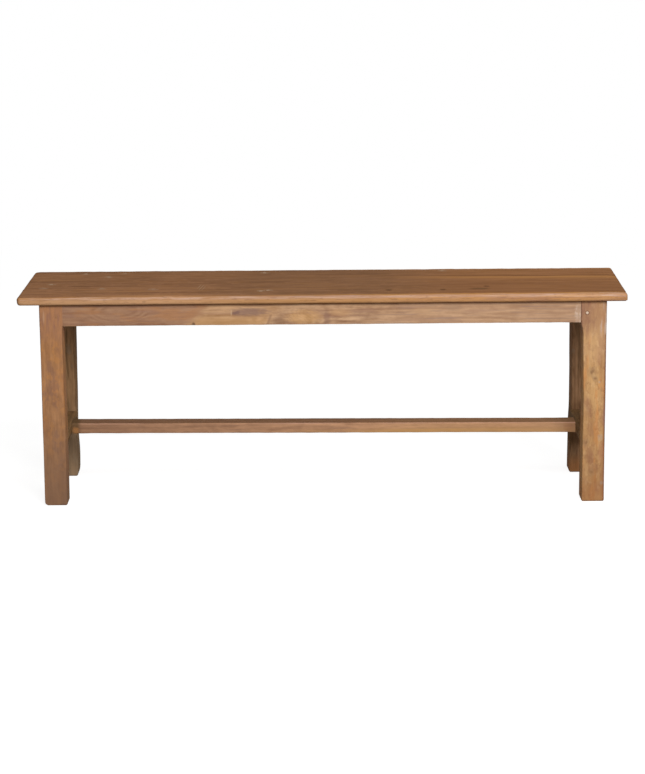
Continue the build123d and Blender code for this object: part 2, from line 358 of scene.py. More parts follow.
def cut_out(piece, tools):
    """Cuts tools, none of which overlap, out of a piece in one go."""
    choose(*tools)
    bpy.ops.object.join()
    cut = piece.modifiers.new("cut", "BOOLEAN")
    cut.operation = "DIFFERENCE"
    cut.solver = "EXACT"
    cut.object = tools[0]
    choose(piece)
    bpy.ops.object.modifier_apply(modifier=cut.name)
    bpy.data.objects.remove(tools[0])


def corners(*limits):
    """The low and high corners of a box from its limits on X, Y and Z."""
    return Vector([min(pair) for pair in limits]), Vector([max(pair) for pair in limits])


def box_tool(*limits):
    tool = start_block("tool", *corners(*limits))
    bpy.ops.object.mode_set(mode="OBJECT")
    return tool


# The turns that lay an upright rod along each of the three axes
rod_turns = ((0, math.pi / 2, 0), (math.pi / 2, 0, 0), (0, 0, 0))


def bore_tool(start, axis, reach, radius=peg_bore):
    """A drill that starts just outside a face and goes in by a signed reach."""
    over = math.copysign(bore_over, reach)
    middle = Vector(start)
    middle[axis] += (reach - over) / 2
    bpy.ops.mesh.primitive_cylinder_add(
        vertices=24, radius=radius, depth=abs(reach + over), location=middle, rotation=rod_turns[axis])
    settle()
    return bpy.context.object


def dress(piece, material, node):
    """Smooths a piece, gives it its finish and stands it in for its CAD node."""
    choose(piece)
    bpy.ops.object.shade_smooth_by_angle(angle=smooth_angle)
    piece.data.materials.clear()
    piece.data.materials.append(material)
    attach(piece, "root")
    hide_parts(node)


def around(centre, size):
    return centre - size / 2, centre + size / 2


def grown(limits):
    return min(limits) - joint_fit, max(limits) + joint_fit


leg_boxes = {(end_name, side_name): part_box(f"{end_name}_{side_name}_leg")
             for end_name in ENDS for side_name in SIDES}

leg_top = leg_boxes["rear", "right"][1].z
leg_inner_x, leg_inner_y = leg_boxes["rear", "right"][0].xy
leg_outer_x, leg_outer_y = leg_boxes["rear", "right"][1].xy
apron_low, apron_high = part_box("front_apron")
end_apron_low, end_apron_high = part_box("right_end_apron")
stretcher_boxes = {side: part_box(f"{side_name}_end_stretcher") for side_name, side in SIDES.items()}
stretcher_middle = {side: (low.z + high.z) / 2 for side, (low, high) in stretcher_boxes.items()}
apron_bottom = apron_low.z
apron_thickness = apron_high.y - apron_low.y
apron_tenon_up = (apron_bottom + apron_tenon_shoulders[0], leg_top - apron_tenon_shoulders[1])
apron_peg_height = sum(apron_tenon_up) / 2
long_apron_y = leg_outer_y - apron_thickness / 2
end_apron_x = (end_apron_low.x + end_apron_high.x) / 2
end_stretcher_x = (stretcher_boxes[1][0].x + stretcher_boxes[1][1].x) / 2


def shoulder_x(side, end):
    """X of the inner face of a leg's head, where the long apron meets it."""
    return side * (leg_inner_x - (head_swell if side > 0 and end < 0 else 0.0))


def stretcher_tenon_up(side):
    return around(stretcher_middle[side], stretcher_tenon_height)


def leg_bores(side, end):
    """Start, axis and reach of the three bores of a leg, by the rail each pins."""
    front_x = shoulder_x(side, end) + side * peg_setback
    outer_x = side * leg_outer_x
    peg_y = end * (leg_inner_y + peg_setback)
    return {
        "apron": ((front_x, end * leg_outer_y, apron_peg_height), Y, -end * apron_peg_reach),
        "end_apron": ((outer_x, peg_y, apron_peg_height), X, -side * apron_peg_reach),
        "end_stretcher": ((outer_x, peg_y, stretcher_middle[side]), X, -side * stretcher_peg_reach)}


def leg_mortises(side, end):
    """The tools for the three mortises of a leg."""
    shoulder = shoulder_x(side, end)
    inner_y = end * leg_inner_y
    long_reach = (shoulder - side * tool_over, shoulder + side * (apron_tenon_length + mortise_end))
    yield box_tool(
        long_reach, grown(around(end * long_apron_y, apron_tenon_thickness)), grown(apron_tenon_up))
    end_reach = (inner_y - end * tool_over, inner_y + end * (end_tenon_length + mortise_end))
    yield box_tool(
        grown(around(side * end_apron_x, apron_tenon_thickness)), end_reach, grown(apron_tenon_up))
    yield box_tool(
        grown(around(side * end_stretcher_x, stretcher_tenon_width)), end_reach,
        grown(stretcher_tenon_up(side)))


# How far the inner face of each leg stands back, by share of the height: the saw and the
# plane left none of them quite straight
inner_set = {
    ("front", "left"): ((0.0, 0.0006), (0.35, 0.0), (0.7, 0.001), (0.86, 0.001), (0.89, 0.0),
                        (1.0, 0.0)),
    ("front", "right"): ((0.0, 0.0066), (0.3, 0.0066), (0.48, 0.0075), (0.66, 0.0062),
                         (0.8, 0.0052), (0.85, 0.0044), (0.893, 0.0), (1.0, 0.0)),
    ("rear", "left"): ((0.0, 0.002), (0.03, 0.0004), (0.09, 0.0), (0.24, 0.0024),
                       (0.45, 0.0016), (0.86, 0.0006), (0.89, 0.0), (1.0, 0.0)),
    ("rear", "right"): ((0.0, 0.0), (0.24, 0.0004), (0.36, 0.0024), (0.86, 0.0012), (0.89, 0.0),
                        (1.0, 0.0)),
}


def set_back(table, share):
    """Reads a table of shares and depths, smooth between its points."""
    for (start, first), (stop, second) in zip(table, table[1:]):
        if share <= stop:
            run = (share - start) / (stop - start)
            return first + (second - first) * run * run * (3 - 2 * run)
    return table[-1][1]


def make_leg(end_name, side_name):
    side, end = SIDES[side_name], ENDS[end_name]
    low, high = leg_boxes[end_name, side_name]
    shoulder = shoulder_x(side, end)
    leg = start_block(f"{side_name}_{end_name}_post", low, high)
    slice_at(Z, [apron_bottom])
    has_worn_foot = (end_name, side_name) == ("front", "left")
    if has_worn_foot:
        ease(leg, lambda middle, line: middle.z < hair and middle.x < low.x + hair, worn_foot_arris, 5)

    def is_shaft_or_outer_arris(middle, line):
        outside = min(side * middle.x - leg_outer_x, end * middle.y - leg_outer_y) > -hair
        return runs_along(line, Z) and (middle.z < apron_bottom or outside)

    def is_sharp_foot_edge(middle, line):
        is_worn = has_worn_foot and middle.x < low.x + 1.5 * worn_foot_arris
        return middle.z < hair and not is_worn

    ease(leg, is_shaft_or_outer_arris, leg_arris, 3)
    ease(leg, is_sharp_foot_edge, leg_foot_arris, 2)
    slice_at(X, even_places(low.x, high.x, leg_row))
    slice_at(Y, even_places(low.y, high.y, leg_row))
    rows = even_places(0.0, apron_bottom, leg_row) + even_places(apron_bottom, leg_top, leg_row)
    slice_at(Z, rows)
    width = abs(side * leg_outer_x - shoulder)
    half_row = leg_row / 2
    for height in [0.0] + rows:
        inset = set_back(inner_set[end_name, side_name], height / leg_top)
        pick(leg, "VERT", lambda point: -half_row <= point.z - height < half_row)
        bpy.ops.transform.resize(
            value=(1 - inset / width, 1, 1), center_override=(side * leg_outer_x, 0, 0))
    end_block()

    def is_held(place):
        """True at the head, where the rails are let in flush."""
        return place.z > apron_bottom - 0.003

    def face_weight(place):
        if place.z > leg_top - hair or place.z < hair:
            return 0.0
        return 0.25 if is_held(place) else 1.0

    def arris_weight(place):
        gap_x = min(abs(place.x - low.x), abs(place.x - high.x), abs(place.x - side * leg_inner_x))
        gap_y = min(abs(place.y - low.y), abs(place.y - high.y))
        if max(gap_x, gap_y) > 2.2 * leg_arris or place.z < hair:
            return 0.0
        outside = side * place.x > leg_outer_x - 0.01 and end * place.y > leg_outer_y - 0.01
        return 0.0 if is_held(place) and not outside else 1.0

    weather(leg, 0.11, leg_wander, face_weight)
    weather(leg, 0.016, leg_wear, arris_weight)
    cut_out(leg, list(leg_mortises(side, end)))
    cut_out(leg, [bore_tool(*bore) for bore in leg_bores(side, end).values()])
    return leg


def leg_wood(end_name, side_name, shift, pale, deep, broad=1.0):
    """The finish that the legs share, before their own marks."""
    low, high = leg_boxes[end_name, side_name]
    wood = Wood(f"{end_name}_{side_name}_leg_wood", Z, shift)
    pith = ((low.x + high.x) / 2 + 0.034, (low.y + high.y) / 2 - 0.052)
    wood.lay_grain(pale, deep, pith, (0.035, -0.05), 0.0085, 0.1, 0.012, (), broad)
    below_head = wood.length.fall(apron_bottom - 0.004, apron_bottom + 0.002)
    outer_side = ((wood.axes[X] - (low.x + high.x) / 2) * SIDES[side_name]).ramp(0, 0.01)
    wood.worn = wood.arris(low, high, 0.0035, (X, Y)) * below_head.most(outer_side)
    wood.tint(wood.worn * 0.5, (116, 80, 64))
    return wood


def paint_shade_under_seat(wood, rise):
    """Painted shade along the top of a face, in the corner under the seat."""
    wood.tint(rise.ramp(leg_top - 0.0085, leg_top - 0.0005) * 0.75, (84, 54, 34))


def front_left_leg_wood():
    wood = leg_wood("front", "left", 0.37, (200, 146, 102), (146, 104, 74))
    low = leg_boxes["front", "left"][0]
    wood.zone(0.1, 0.016, 0.03, 0.15, 0.45, (188, 130, 84))
    wood.zone(0.05, 0.022, 0.02, 0.14, 0.45, (142, 106, 90))
    wood.zone(0.022, 0.016, 0.02, 0.12, 0.35, (206, 142, 84))
    wood.tint(wood.length.fall(0.02, 0.26) * 0.75, (136, 105, 85))
    wood.tint(wood.length.ramp(0.26, 0.38) * 0.3, (190, 132, 82))
    left_line = (wood.side - low.y).size().fall(0.0, 0.05)
    wood.tint(wood.length.ramp(0.34, 0.4) * 0.5, (172, 124, 98))
    head_streaks = wood.streaks(0.035, 0.006)
    upper_half = wood.length.ramp(0.36, 0.4)
    wood.tint(upper_half * head_streaks.ramp(0.02, 0.14) * 0.4, (196, 138, 92))
    wood.tint(upper_half * head_streaks.fall(-0.16, -0.04) * 0.4, (146, 106, 94))
    # Painted shade: a dark line down the left arris
    wood.tint((wood.axes[X] - low.x).fall(0.002, 0.0055) * left_line * 0.85, (78, 54, 44))
    wood.tint(wood.spot((low.x + 0.01, low.y, 0.412), (0.0025, 0.012, 0.017), 0.5) * 0.5, (205, 165, 135))
    # Painted shade under the seat along the top of the leg
    paint_shade_under_seat(wood, wood.length)
    return wood.finish()


def front_right_leg_wood():
    low, high = leg_boxes["front", "right"]
    wood = leg_wood("front", "right", 1.21, (219, 173, 119), (166, 119, 79), 2.2)
    wood.zone(0.05, 0.026, -0.02, 0.16, 0.5, (164, 118, 92))
    wood.zone(0.02, 0.012, 0.04, 0.18, 0.4, (146, 104, 78))
    wood.zone(0.016, 0.01, 0.04, 0.16, 0.3, (230, 188, 140))
    wood.zone(0.09, 0.018, 0.04, 0.16, 0.45, (212, 138, 78))
    from_rim = high.x - wood.axes[X]
    wood.tint(from_rim.fall(0.002, 0.0065) * wood.length.fall(0.36, 0.38) * 0.8, (124, 74, 54))
    wood.tint(wood.worn * 0.3, (140, 82, 58))
    wood.marks(low.y, 0.03, 1.2, (
        (0.595, 0.108, 0.01, 0.03, 0.5, (168, 108, 86)),
        (0.566, 0.205, 0.01, 0.03, 0.5, (160, 116, 86)),
        (0.57, 0.1, 0.012, 0.026, 0.5, (158, 114, 88)),
        (0.586, 0.322, 0.01, 0.022, 0.5, (186, 138, 100)),
        (0.601, 0.045, 0.012, 0.05, 0.5, (148, 98, 78))))
    wood.zone(0.011, 0.007, 0.05, 0.18, 0.35, (152, 104, 74))
    wood.tint(wood.length.fall(0.015, 0.055) * 0.35, (168, 106, 70))
    wood.tint(wood.spot((0.603, low.y, 0.19), (0.009, 0.03, 0.04), 1.2) * 0.5, (148, 108, 100))
    pale_streaks = wood.streaks(0.05, 0.004, 2.0).ramp(-0.05, 0.1)
    outer = wood.spot((high.x - 0.007, low.y, 0.4), (0.012, 0.03, 0.05))
    wood.tint(outer * pale_streaks * 0.8, (216, 198, 184))
    for x, z, radius in ((0.573, 0.285, 0.0062), (0.58, 0.27, 0.0034), (0.562, 0.13, 0.0045),
                         (0.574, 0.064, 0.005)):
        wood.knot((x, low.y, z), radius, (166, 132, 98), (132, 98, 70))
    wood.marks(low.y, 0.02, 2.0, (
        (0.592, 0.141, 0.008, 0.009, 0.45, (190, 172, 156)),
        (0.596, 0.041, 0.004, 0.006, 0.45, (190, 172, 156)),
        (0.589, 0.263, 0.003, 0.004, 0.45, (190, 172, 156))))
    wood.tint(wood.spot((0.578, low.y, 0.345), (0.04, 0.03, 0.055), 1.5) * 0.25, (228, 186, 142))
    head = wood.length.ramp(apron_bottom - 0.042, apron_bottom + 0.01)
    wood.tint(head * 0.45, (170, 130, 106))
    from_joint = wood.axes[X] - shoulder_x(1, -1)
    head_streaks = wood.streaks(0.03, 0.007).ramp(-0.1, 0.12)
    wood.tint(head * from_joint.fall(0.01, 0.034) * (head_streaks * 0.4 + 0.3), (142, 102, 86))
    wood.tint(head * from_joint.size().fall(0.0006, 0.003) * 0.7, (92, 66, 56))
    # Painted shade: a dark ring round the peg, where its bore leaves a gap
    peg_ring = wood.spot(
        (shoulder_x(1, -1) + peg_setback, low.y, apron_peg_height), (0.006, 0.02, 0.006), 0.3)
    wood.tint(peg_ring * 0.8, (112, 76, 60))
    wood.tint(wood.length.fall(0.03, 0.24) * 0.35, (156, 108, 72))
    # Painted shade under the seat along the top of the leg
    paint_shade_under_seat(wood, wood.length)
    return wood.finish()


def rear_leg_wood(side_name, shift, pale, deep):
    wood = leg_wood("rear", side_name, shift, pale, deep)
    wood.zone(0.16, 0.012, 0.0, 0.14, 0.5, (96, 76, 50))
    wood.zone(0.03, 0.016, 0.05, 0.16, 0.4, (156, 134, 112))
    # Painted shade under the aprons, darker up to the head
    wood.tint(wood.length.ramp(0.35, 0.39) * 0.6, (84, 56, 36))
    return wood


def rear_left_leg_wood():
    wood = rear_leg_wood("left", 2.4, (190, 146, 106), (130, 100, 70))
    # Towards the foot the leg is paler and greyer: partly the wood's grey, partly painted light against the
    # shade there
    grey_and_lit_foot = (wood.length + wood.streaks(0.05, 0.01) * 0.1).fall(0.09, 0.19)
    wood.tint(grey_and_lit_foot * 0.55, (166, 142, 116))
    return wood.finish()


def rear_right_leg_wood():
    wood = rear_leg_wood("right", 3.3, (180, 137, 101), (119, 89, 66))
    wood.tint(wood.length.fall(0.13, 0.18) * wood.length.ramp(0.05, 0.08) * 0.55, (86, 60, 36))
    wood.tint(wood.length.fall(0.012, 0.05) * 0.7, (176, 118, 74))
    return wood.finish()


leg_finishes = {
    ("front", "left"): front_left_leg_wood(),
    ("front", "right"): front_right_leg_wood(),
    ("rear", "left"): rear_left_leg_wood(),
    ("rear", "right"): rear_right_leg_wood(),
}
for (end_name, side_name), leg_finish in leg_finishes.items():
    dress(make_leg(end_name, side_name), leg_finish, f"{end_name}_{side_name}_leg")

# End aprons and end stretchers. Rails of the same wood that tie each front leg to a rear leg,
# tenoned into blind mortises and pegged through the leg. The stretchers lie flat.

rail_row = 0.008
apron_arris = 0.0015
stretcher_arris = 0.002
rail_wander = 0.0005
rail_wear = 0.0007
tongue_width = 0.028
tongue_height = 0.008
tongue_depth = 0.008
button_height = 0.018
centre_tenon_length = 0.026
centre_peg_reach = 0.0191

button_bottom = leg_top - button_height
tongue_up = (button_bottom, button_bottom + tongue_height)


def rail_order(axis, along, across, up):
    """The limits of a rail in the order X, Y, Z."""
    return (along, across, up) if axis == X else (across, along, up)


def make_rail(name, axis, along, limits, tenon_limits, tenon_length, arris, eased_to):
    """A rail with a tenon at each end, its long arrises eased below a height."""
    across = Y if axis == X else X
    low, high = corners(*rail_order(axis, along, *limits))
    tenon_low, tenon_high = corners(*rail_order(axis, along, *tenon_limits))
    rail = start_block(name, low, high)
    ease(rail, lambda middle, line: runs_along(line, axis) and middle.z < eased_to, arris, 3)
    slice_at(across, [tenon_low[across], tenon_high[across]])
    slice_at(Z, [tenon_low.z, tenon_high.z])
    slice_at(across, even_places(tenon_low[across], tenon_high[across], rail_row))
    slice_at(Z, even_places(tenon_low.z, tenon_high.z, rail_row))
    slice_at(axis, even_places(low[axis], high[axis], rail_row))
    end_block()
    middle = (low + high) / 2

    def face_weight(place):
        from_end = min(place[axis] - low[axis], high[axis] - place[axis])
        if from_end < hair or place.z > leg_top - hair:
            return 0.0
        return min(1.0, 0.25 + from_end / 0.06)

    def arris_weight(place):
        gap_across = (high[across] - low[across]) / 2 - abs(place[across] - middle[across])
        gap_up = (high.z - low.z) / 2 - abs(place.z - middle.z)
        if max(gap_across, gap_up) > 2.5 * arris or place.z >= eased_to:
            return 0.0
        return face_weight(place)

    weather(rail, 0.13, rail_wander, face_weight)
    weather(rail, 0.02, rail_wear, arris_weight)
    for end, face_place in ((-1, low[axis]), (1, high[axis])):
        bpy.ops.object.mode_set(mode="EDIT")

        def is_tenon_root(centre):
            return (abs(centre[axis] - face_place) < hair
                    and tenon_low[across] < centre[across] < tenon_high[across]
                    and tenon_low.z < centre.z < tenon_high.z)

        pick(rail, "FACE", is_tenon_root)
        push = Vector()
        push[axis] = end * tenon_length
        bpy.ops.mesh.extrude_region_move(TRANSFORM_OT_translate={"value": push})
        end_block()
    return rail


def rail_wood(name, axis, shift, pale, deep, patch_length, patch_colour):
    """The finish of the hidden rails."""
    wood = Wood(name, axis, shift)
    wood.lay_grain(pale, deep, (0.03 * shift, 0.36), (0.02, 0.03), 0.007, 0.2, 0.008)
    wood.zone(patch_length, 0.02, 0.02, 0.16, 0.4, patch_colour)
    return wood.finish()


def make_apron(name, axis, way, along, outer, tenon_middle, tenon_length, bores, slot_places):
    """An apron flush with the legs, bored for its pegs and slotted for the seat buttons."""
    inner = way * (abs(outer) - apron_thickness)
    tenon_limits = (around(tenon_middle, apron_tenon_thickness), apron_tenon_up)
    apron = make_rail(
        name, axis, along, ((outer, inner), (apron_bottom, leg_top)), tenon_limits, tenon_length,
        apron_arris, apron_bottom + 0.004)
    slot_reach = (inner - way * tool_over, inner + way * (tongue_depth + joint_fit))
    tools = [bore_tool(*bore) for bore in bores]
    for place in slot_places:
        slot = rail_order(axis, grown(around(place, tongue_width)), slot_reach, grown(tongue_up))
        tools.append(box_tool(*slot))
    cut_out(apron, tools)
    return apron


def centre_bore(side):
    """Start, axis and reach of the bore that pins the centre stretcher from below."""
    start = (side * (leg_inner_x + peg_setback), 0.0, stretcher_boxes[side][0].z)
    return start, Z, centre_peg_reach


def make_end_stretcher(side_name):
    side = SIDES[side_name]
    low, high = stretcher_boxes[side]
    tenon_up = stretcher_tenon_up(side)
    tenon_across = around(side * end_stretcher_x, stretcher_tenon_width)
    stretcher = make_rail(
        f"{side_name}_end_rail_low", Y, (-leg_inner_y, leg_inner_y), ((low.x, high.x), (low.z, high.z)),
        (tenon_across, tenon_up), end_tenon_length, stretcher_arris, leg_top)
    tools = [bore_tool(*leg_bores(side, end)["end_stretcher"]) for end in ENDS.values()]
    bottom_x = side * (leg_inner_x + centre_tenon_length + mortise_end)
    tools.append(box_tool((side * (leg_inner_x - tool_over), bottom_x),
                          grown(around(0.0, stretcher_tenon_width)), grown(tenon_up)))
    cut_out(stretcher, tools)
    cut_out(stretcher, [bore_tool(*centre_bore(side))])
    return stretcher


for side_name, side in SIDES.items():
    apron_wood = rail_wood(
        f"{side_name}_end_apron_wood", Y, 4.1 + side, (180, 134, 96), (136, 98, 72), 0.12, (150, 112, 92))
    bores = [leg_bores(side, end)["end_apron"] for end in ENDS.values()]
    apron = make_apron(
        f"{side_name}_end_rail_top", Y, side, (-leg_inner_y, leg_inner_y), side * leg_outer_x,
        side * end_apron_x, end_tenon_length, bores, [0.0])
    dress(apron, apron_wood, f"{side_name}_end_apron")
    stretcher_wood = rail_wood(
        f"{side_name}_end_stretcher_wood", Y, 6.3 + side, (150, 116, 80), (98, 76, 52), 0.1, (112, 90, 68))
    dress(make_end_stretcher(side_name), stretcher_wood, f"{side_name}_end_stretcher")

# Long aprons. Two rails on edge under the seat, flush with the outer faces of the legs, their
# tenons pegged from the front and the rear. The front one shows the wild figure of the board.

long_button_shares = (-0.62, 0.0, 0.62)


def front_apron_wood():
    wood = Wood("front_apron_wood", X, 7.7)
    face_y = apron_low.y
    swirl = wood.spot((-0.437, face_y, 0.416), (0.07, 0.05, 0.026))
    arch = wood.spot((-0.08, face_y, 0.385), (0.095, 0.05, 0.046))
    wood.lay_grain(
        (216, 174, 136), (142, 104, 78), (-0.1, 0.35), (0.02, 0.012), 0.0085, 0.4, 0.008,
        ((swirl, 2.4), (arch, 3.0)))
    slant = wood.length + (wood.rise - 0.41) * -1.0 + wood.streaks(0.05, 0.01) * 0.03
    left_part = slant.fall(-0.29, -0.255)
    wood.tint(left_part * 0.6, (150, 108, 86))
    orange = wood.streaks(0.06, 0.012).ramp(-0.02, 0.14)
    wood.tint(left_part * orange * 0.5, (184, 130, 88))
    plum = wood.streaks(0.09, 0.009).ramp(0.02, 0.14)
    wood.tint(plum * 0.45, (154, 116, 98))
    golden = slant.ramp(-0.285, -0.25) * slant.fall(-0.13, -0.09)
    low_half = wood.rise.fall(0.4, 0.42)
    wood.tint(golden * (low_half * 0.4 + 0.25), (202, 154, 104))
    wood.marks(face_y, 0.02, 1.4, (
        (-0.157, 0.421, 0.05, 0.012, 0.75, (142, 112, 100)),
        (-0.186, 0.4185, 0.014, 0.006, 0.6, (120, 92, 88)),
        (-0.2755, 0.395, 0.005, 0.006, 0.8, (92, 70, 56)),
        (-0.195, 0.419, 0.002, 0.008, 0.6, (220, 188, 154)),
        (-0.098, 0.399, 0.02, 0.014, 0.45, (148, 114, 90)),
        (-0.04, 0.408, 0.048, 0.02, 0.55, (212, 162, 106)),
        (0.008, 0.404, 0.009, 0.024, 0.5, (142, 108, 92)),
        (0.036, 0.417, 0.03, 0.011, 0.4, (206, 158, 110)),
        (0.088, 0.413, 0.034, 0.012, 0.25, (146, 112, 92)),
        (0.215, 0.418, 0.038, 0.011, 0.45, (210, 168, 124)),
        (0.275, 0.427, 0.026, 0.009, 0.45, (146, 122, 102))))
    slit = (wood.length + 0.1147 - (wood.rise - 0.4035) * 0.36).size()
    slit_half = wood.rise.fall(0.411, 0.416)
    wood.tint(slit.fall(0.0005, 0.0045) * slit_half * 0.45, (132, 98, 80))
    fan_line = wood.length + wood.rise * 0.9 + wood.streaks(0.05, 0.02) * 0.05
    fan = (fan_line * 110).wave()
    fan_part = wood.spot((-0.06, face_y, 0.41), (0.062, 0.02, 0.024), 0.8)
    wood.tint(fan_part * fan.ramp(0.45, 1.0) * 0.16, (150, 112, 84))
    right_part = slant.ramp(0.05, 0.2)
    wood.tint(right_part * 0.45, (196, 156, 124))
    blue_streaks = wood.streaks(0.1, 0.004).ramp(0.02, 0.14)
    wood.tint(right_part * blue_streaks * 0.4, (148, 124, 114))
    wood.tint(wood.length.ramp(0.44, 0.5) * 0.3, (168, 132, 106))
    right_end = wood.spot((0.543, face_y, 0.41), (0.012, 0.02, 0.03), 1.2)
    end_streaks = wood.streaks(0.006, 0.012, 2.0).ramp(-0.12, 0.1)
    wood.tint(right_end * (end_streaks * 0.5 + 0.25), (214, 188, 166))
    lower_arris = wood.arris(apron_low, Vector((apron_high.x, apron_high.y, 0.5)), 0.003, (Y, Z))
    wood.tint(lower_arris * 0.3, (206, 162, 118))
    # Painted shade under the seat's nose along the top of the apron
    paint_shade_under_seat(wood, wood.rise)
    return wood.finish()


rear_apron_wood = rail_wood("rear_apron_wood", X, 8.9, (186, 142, 106), (138, 100, 76), 0.2, (150, 112, 92))
slot_places = [share * leg_inner_x for share in long_button_shares]
for end_name, apron_wood in (("front", front_apron_wood()), ("rear", rear_apron_wood)):
    end = ENDS[end_name]
    bores = [leg_bores(side, end)["apron"] for side in SIDES.values()]
    apron = make_apron(
        f"{end_name}_long_rail", X, end, (shoulder_x(-1, end), shoulder_x(1, end)), end * leg_outer_y,
        end * long_apron_y, apron_tenon_length, bores, slot_places)
    dress(apron, apron_wood, f"{end_name}_apron")

# Centre stretcher. A flat rail that joins the middles of the two end stretchers, tenoned into
# them and pegged from below. It slopes down to the right with them.

centre_low, centre_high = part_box("centre_stretcher")
centre_drop = stretcher_middle[-1] - stretcher_middle[1]


def make_centre_stretcher():
    left_low, left_high = stretcher_boxes[-1]
    stretcher = make_rail(
        "centre_rail_low", X, (-leg_inner_x, leg_inner_x),
        ((centre_low.y, centre_high.y), (left_low.z, left_high.z)),
        (around(0.0, stretcher_tenon_width), stretcher_tenon_up(-1)), centre_tenon_length,
        stretcher_arris, leg_top)
    bpy.ops.object.mode_set(mode="EDIT")
    half_row = rail_row / 2
    for row in even_places(-leg_inner_x, leg_inner_x, rail_row):
        pick(stretcher, "VERT", lambda point: abs(point.x - row) < half_row)
        share = (row + leg_inner_x) / (2 * leg_inner_x)
        bpy.ops.transform.translate(value=(0, 0, -centre_drop * share))
    pick(stretcher, "VERT", lambda point: point.x > leg_inner_x - half_row)
    bpy.ops.transform.translate(value=(0, 0, -centre_drop))
    end_block()
    cut_out(stretcher, [bore_tool(*centre_bore(side)) for side in SIDES.values()])
    return stretcher


def centre_stretcher_wood():
    wood = Wood("centre_stretcher_wood", X, 9.6)
    wood.lay_grain((206, 156, 120), (156, 116, 90), (0.06, 0.07), (0.03, 0.02), 0.008, 0.25, 0.008)
    wood.tint(wood.length.fall(-0.55, -0.05) * 0.4, (146, 110, 88))
    wood.zone(0.12, 0.008, 0.02, 0.14, 0.4, (148, 112, 96))
    low_half = wood.rise.fall(0.128, 0.138)
    wood.tint(wood.length.ramp(0.0, 0.24) * (low_half * 0.4 + 0.2), (204, 156, 100))
    wood.tint(wood.length.ramp(0.38, 0.5) * 0.4, (204, 158, 120))
    face_y = centre_low.y
    wood.marks(face_y, 0.02, 0.6, ((0.538, 0.134, 0.014, 0.02, 0.3, (172, 112, 80)),
                                   (0.552, 0.137, 0.006, 0.016, 0.5, (200, 146, 108))))
    top_height = sum(stretcher_boxes[side][1].z for side in SIDES.values()) / 2
    below_top = wood.rise * -1 + top_height - wood.length * (centre_drop / (2 * leg_inner_x))
    front_edge = (wood.side - face_y).fall(0.0, 0.003)
    # Painted shade: the top face is darker under the seat
    wood.tint(below_top.fall(0.0004, 0.0014) * (1 - front_edge) * 0.5, (112, 80, 54))
    # Painted highlight along the front arris of the top face
    pale_line = wood.streaks(0.12, 0.02, 2.0).ramp(-0.1, 0.1) * 0.5 + 0.2
    wood.tint(below_top.fall(0.0012, 0.0035) * front_edge * pale_line, (214, 166, 142))
    gold_low = below_top.ramp(0.012, 0.02) * wood.streaks(0.1, 0.02).ramp(-0.1, 0.12)
    wood.tint(gold_low * wood.length.ramp(-0.25, 0.2) * 0.5, (206, 156, 98))
    # Painted shade at the left end, where it meets the left end stretcher
    wood.tint(wood.length.fall(-0.543, -0.531) * 0.85, (108, 85, 58))
    wood.tint(wood.spot((-0.545, face_y, 0.134), (0.01, 0.02, 0.01), 1.6) * 0.65, (190, 132, 82))
    return wood.finish()


dress(make_centre_stretcher(), centre_stretcher_wood(), "centre_stretcher")

# Pegs. Fourteen pegs whittled from the same hardwood and driven through the legs, and up
# through the end stretchers, to hold the tenons. Their heads show as small round ends.

peg_radius = 0.003
peg_length = 0.03
peg_tip = 0.0008
peg_head_round = 0.0004
peg_row = 0.004
peg_wear = 0.00025
room_past_peg = 0.0001


def whittle_peg():
    """The peg that the others are copied from, its head at the origin."""
    bpy.ops.mesh.primitive_cylinder_add(
        vertices=14, radius=peg_radius, depth=peg_length, location=(0, 0, peg_length / 2))
    peg = bpy.context.object
    peg.name = "whittled_peg"
    settle()
    bpy.ops.object.mode_set(mode="EDIT")
    ease(peg, lambda middle, line: middle.z > peg_length - hair, peg_tip, 1)
    ease(peg, lambda middle, line: middle.z < hair, peg_head_round, 2)
    slice_at(Z, even_places(0.002, peg_length - 0.002, peg_row))
    end_block()
    weather(peg, 0.004, peg_wear, lambda place: 1.0 if 0.001 < place.z < 0.028 else 0.3)
    return peg


def peg_wood(name, axis, pale, deep):
    wood = Wood(name, axis, 11.3)
    wood.lay_grain(pale, deep, (0.01, 0.37), (0.02, 0.02), 0.0016, 0.3, 0.002)
    return wood.finish(0.2)


plain_peg = {axis: peg_wood(f"peg_wood_{axis}", axis, (184, 134, 96), (160, 116, 84)) for axis in range(3)}
pale_peg = peg_wood("pale_peg_wood", Y, (232, 208, 186), (196, 166, 138))
peg_model = whittle_peg()


def drive_peg(node, start, axis, reach, finish):
    """Copies the whittled peg into a bore, its head at the start of the bore."""
    peg = peg_model.copy()
    peg.data = peg_model.data.copy()
    peg.name = f"whittled_{node}"
    bpy.context.collection.objects.link(peg)
    choose(peg)
    way = Vector()
    way[axis] = math.copysign(1, reach)
    peg.scale = (1, 1, (abs(reach) - room_past_peg) / peg_length)
    peg.rotation_euler = way.to_track_quat("Z", "Y").to_euler()
    peg.location = start
    settle()
    dress(peg, finish, node)


for end_name, end in ENDS.items():
    for side_name, side in SIDES.items():
        for rail, bore in leg_bores(side, end).items():
            names = (end_name, rail, side_name) if rail == "apron" else (side_name, rail, end_name)
            is_pale = names == ("front", "apron", "right")
            drive_peg("_".join(names) + "_peg", *bore, pale_peg if is_pale else plain_peg[bore[1]])
for side_name, side in SIDES.items():
    drive_peg(f"centre_stretcher_{side_name}_peg", *centre_bore(side), plain_peg[Z])
bpy.data.objects.remove(peg_model)

# Seat. One wide plank of reclaimed hardwood with rounded edges and corners, planed thin and
# waxed over its old nail holes, most of them plugged. A drying crack runs in from the left.

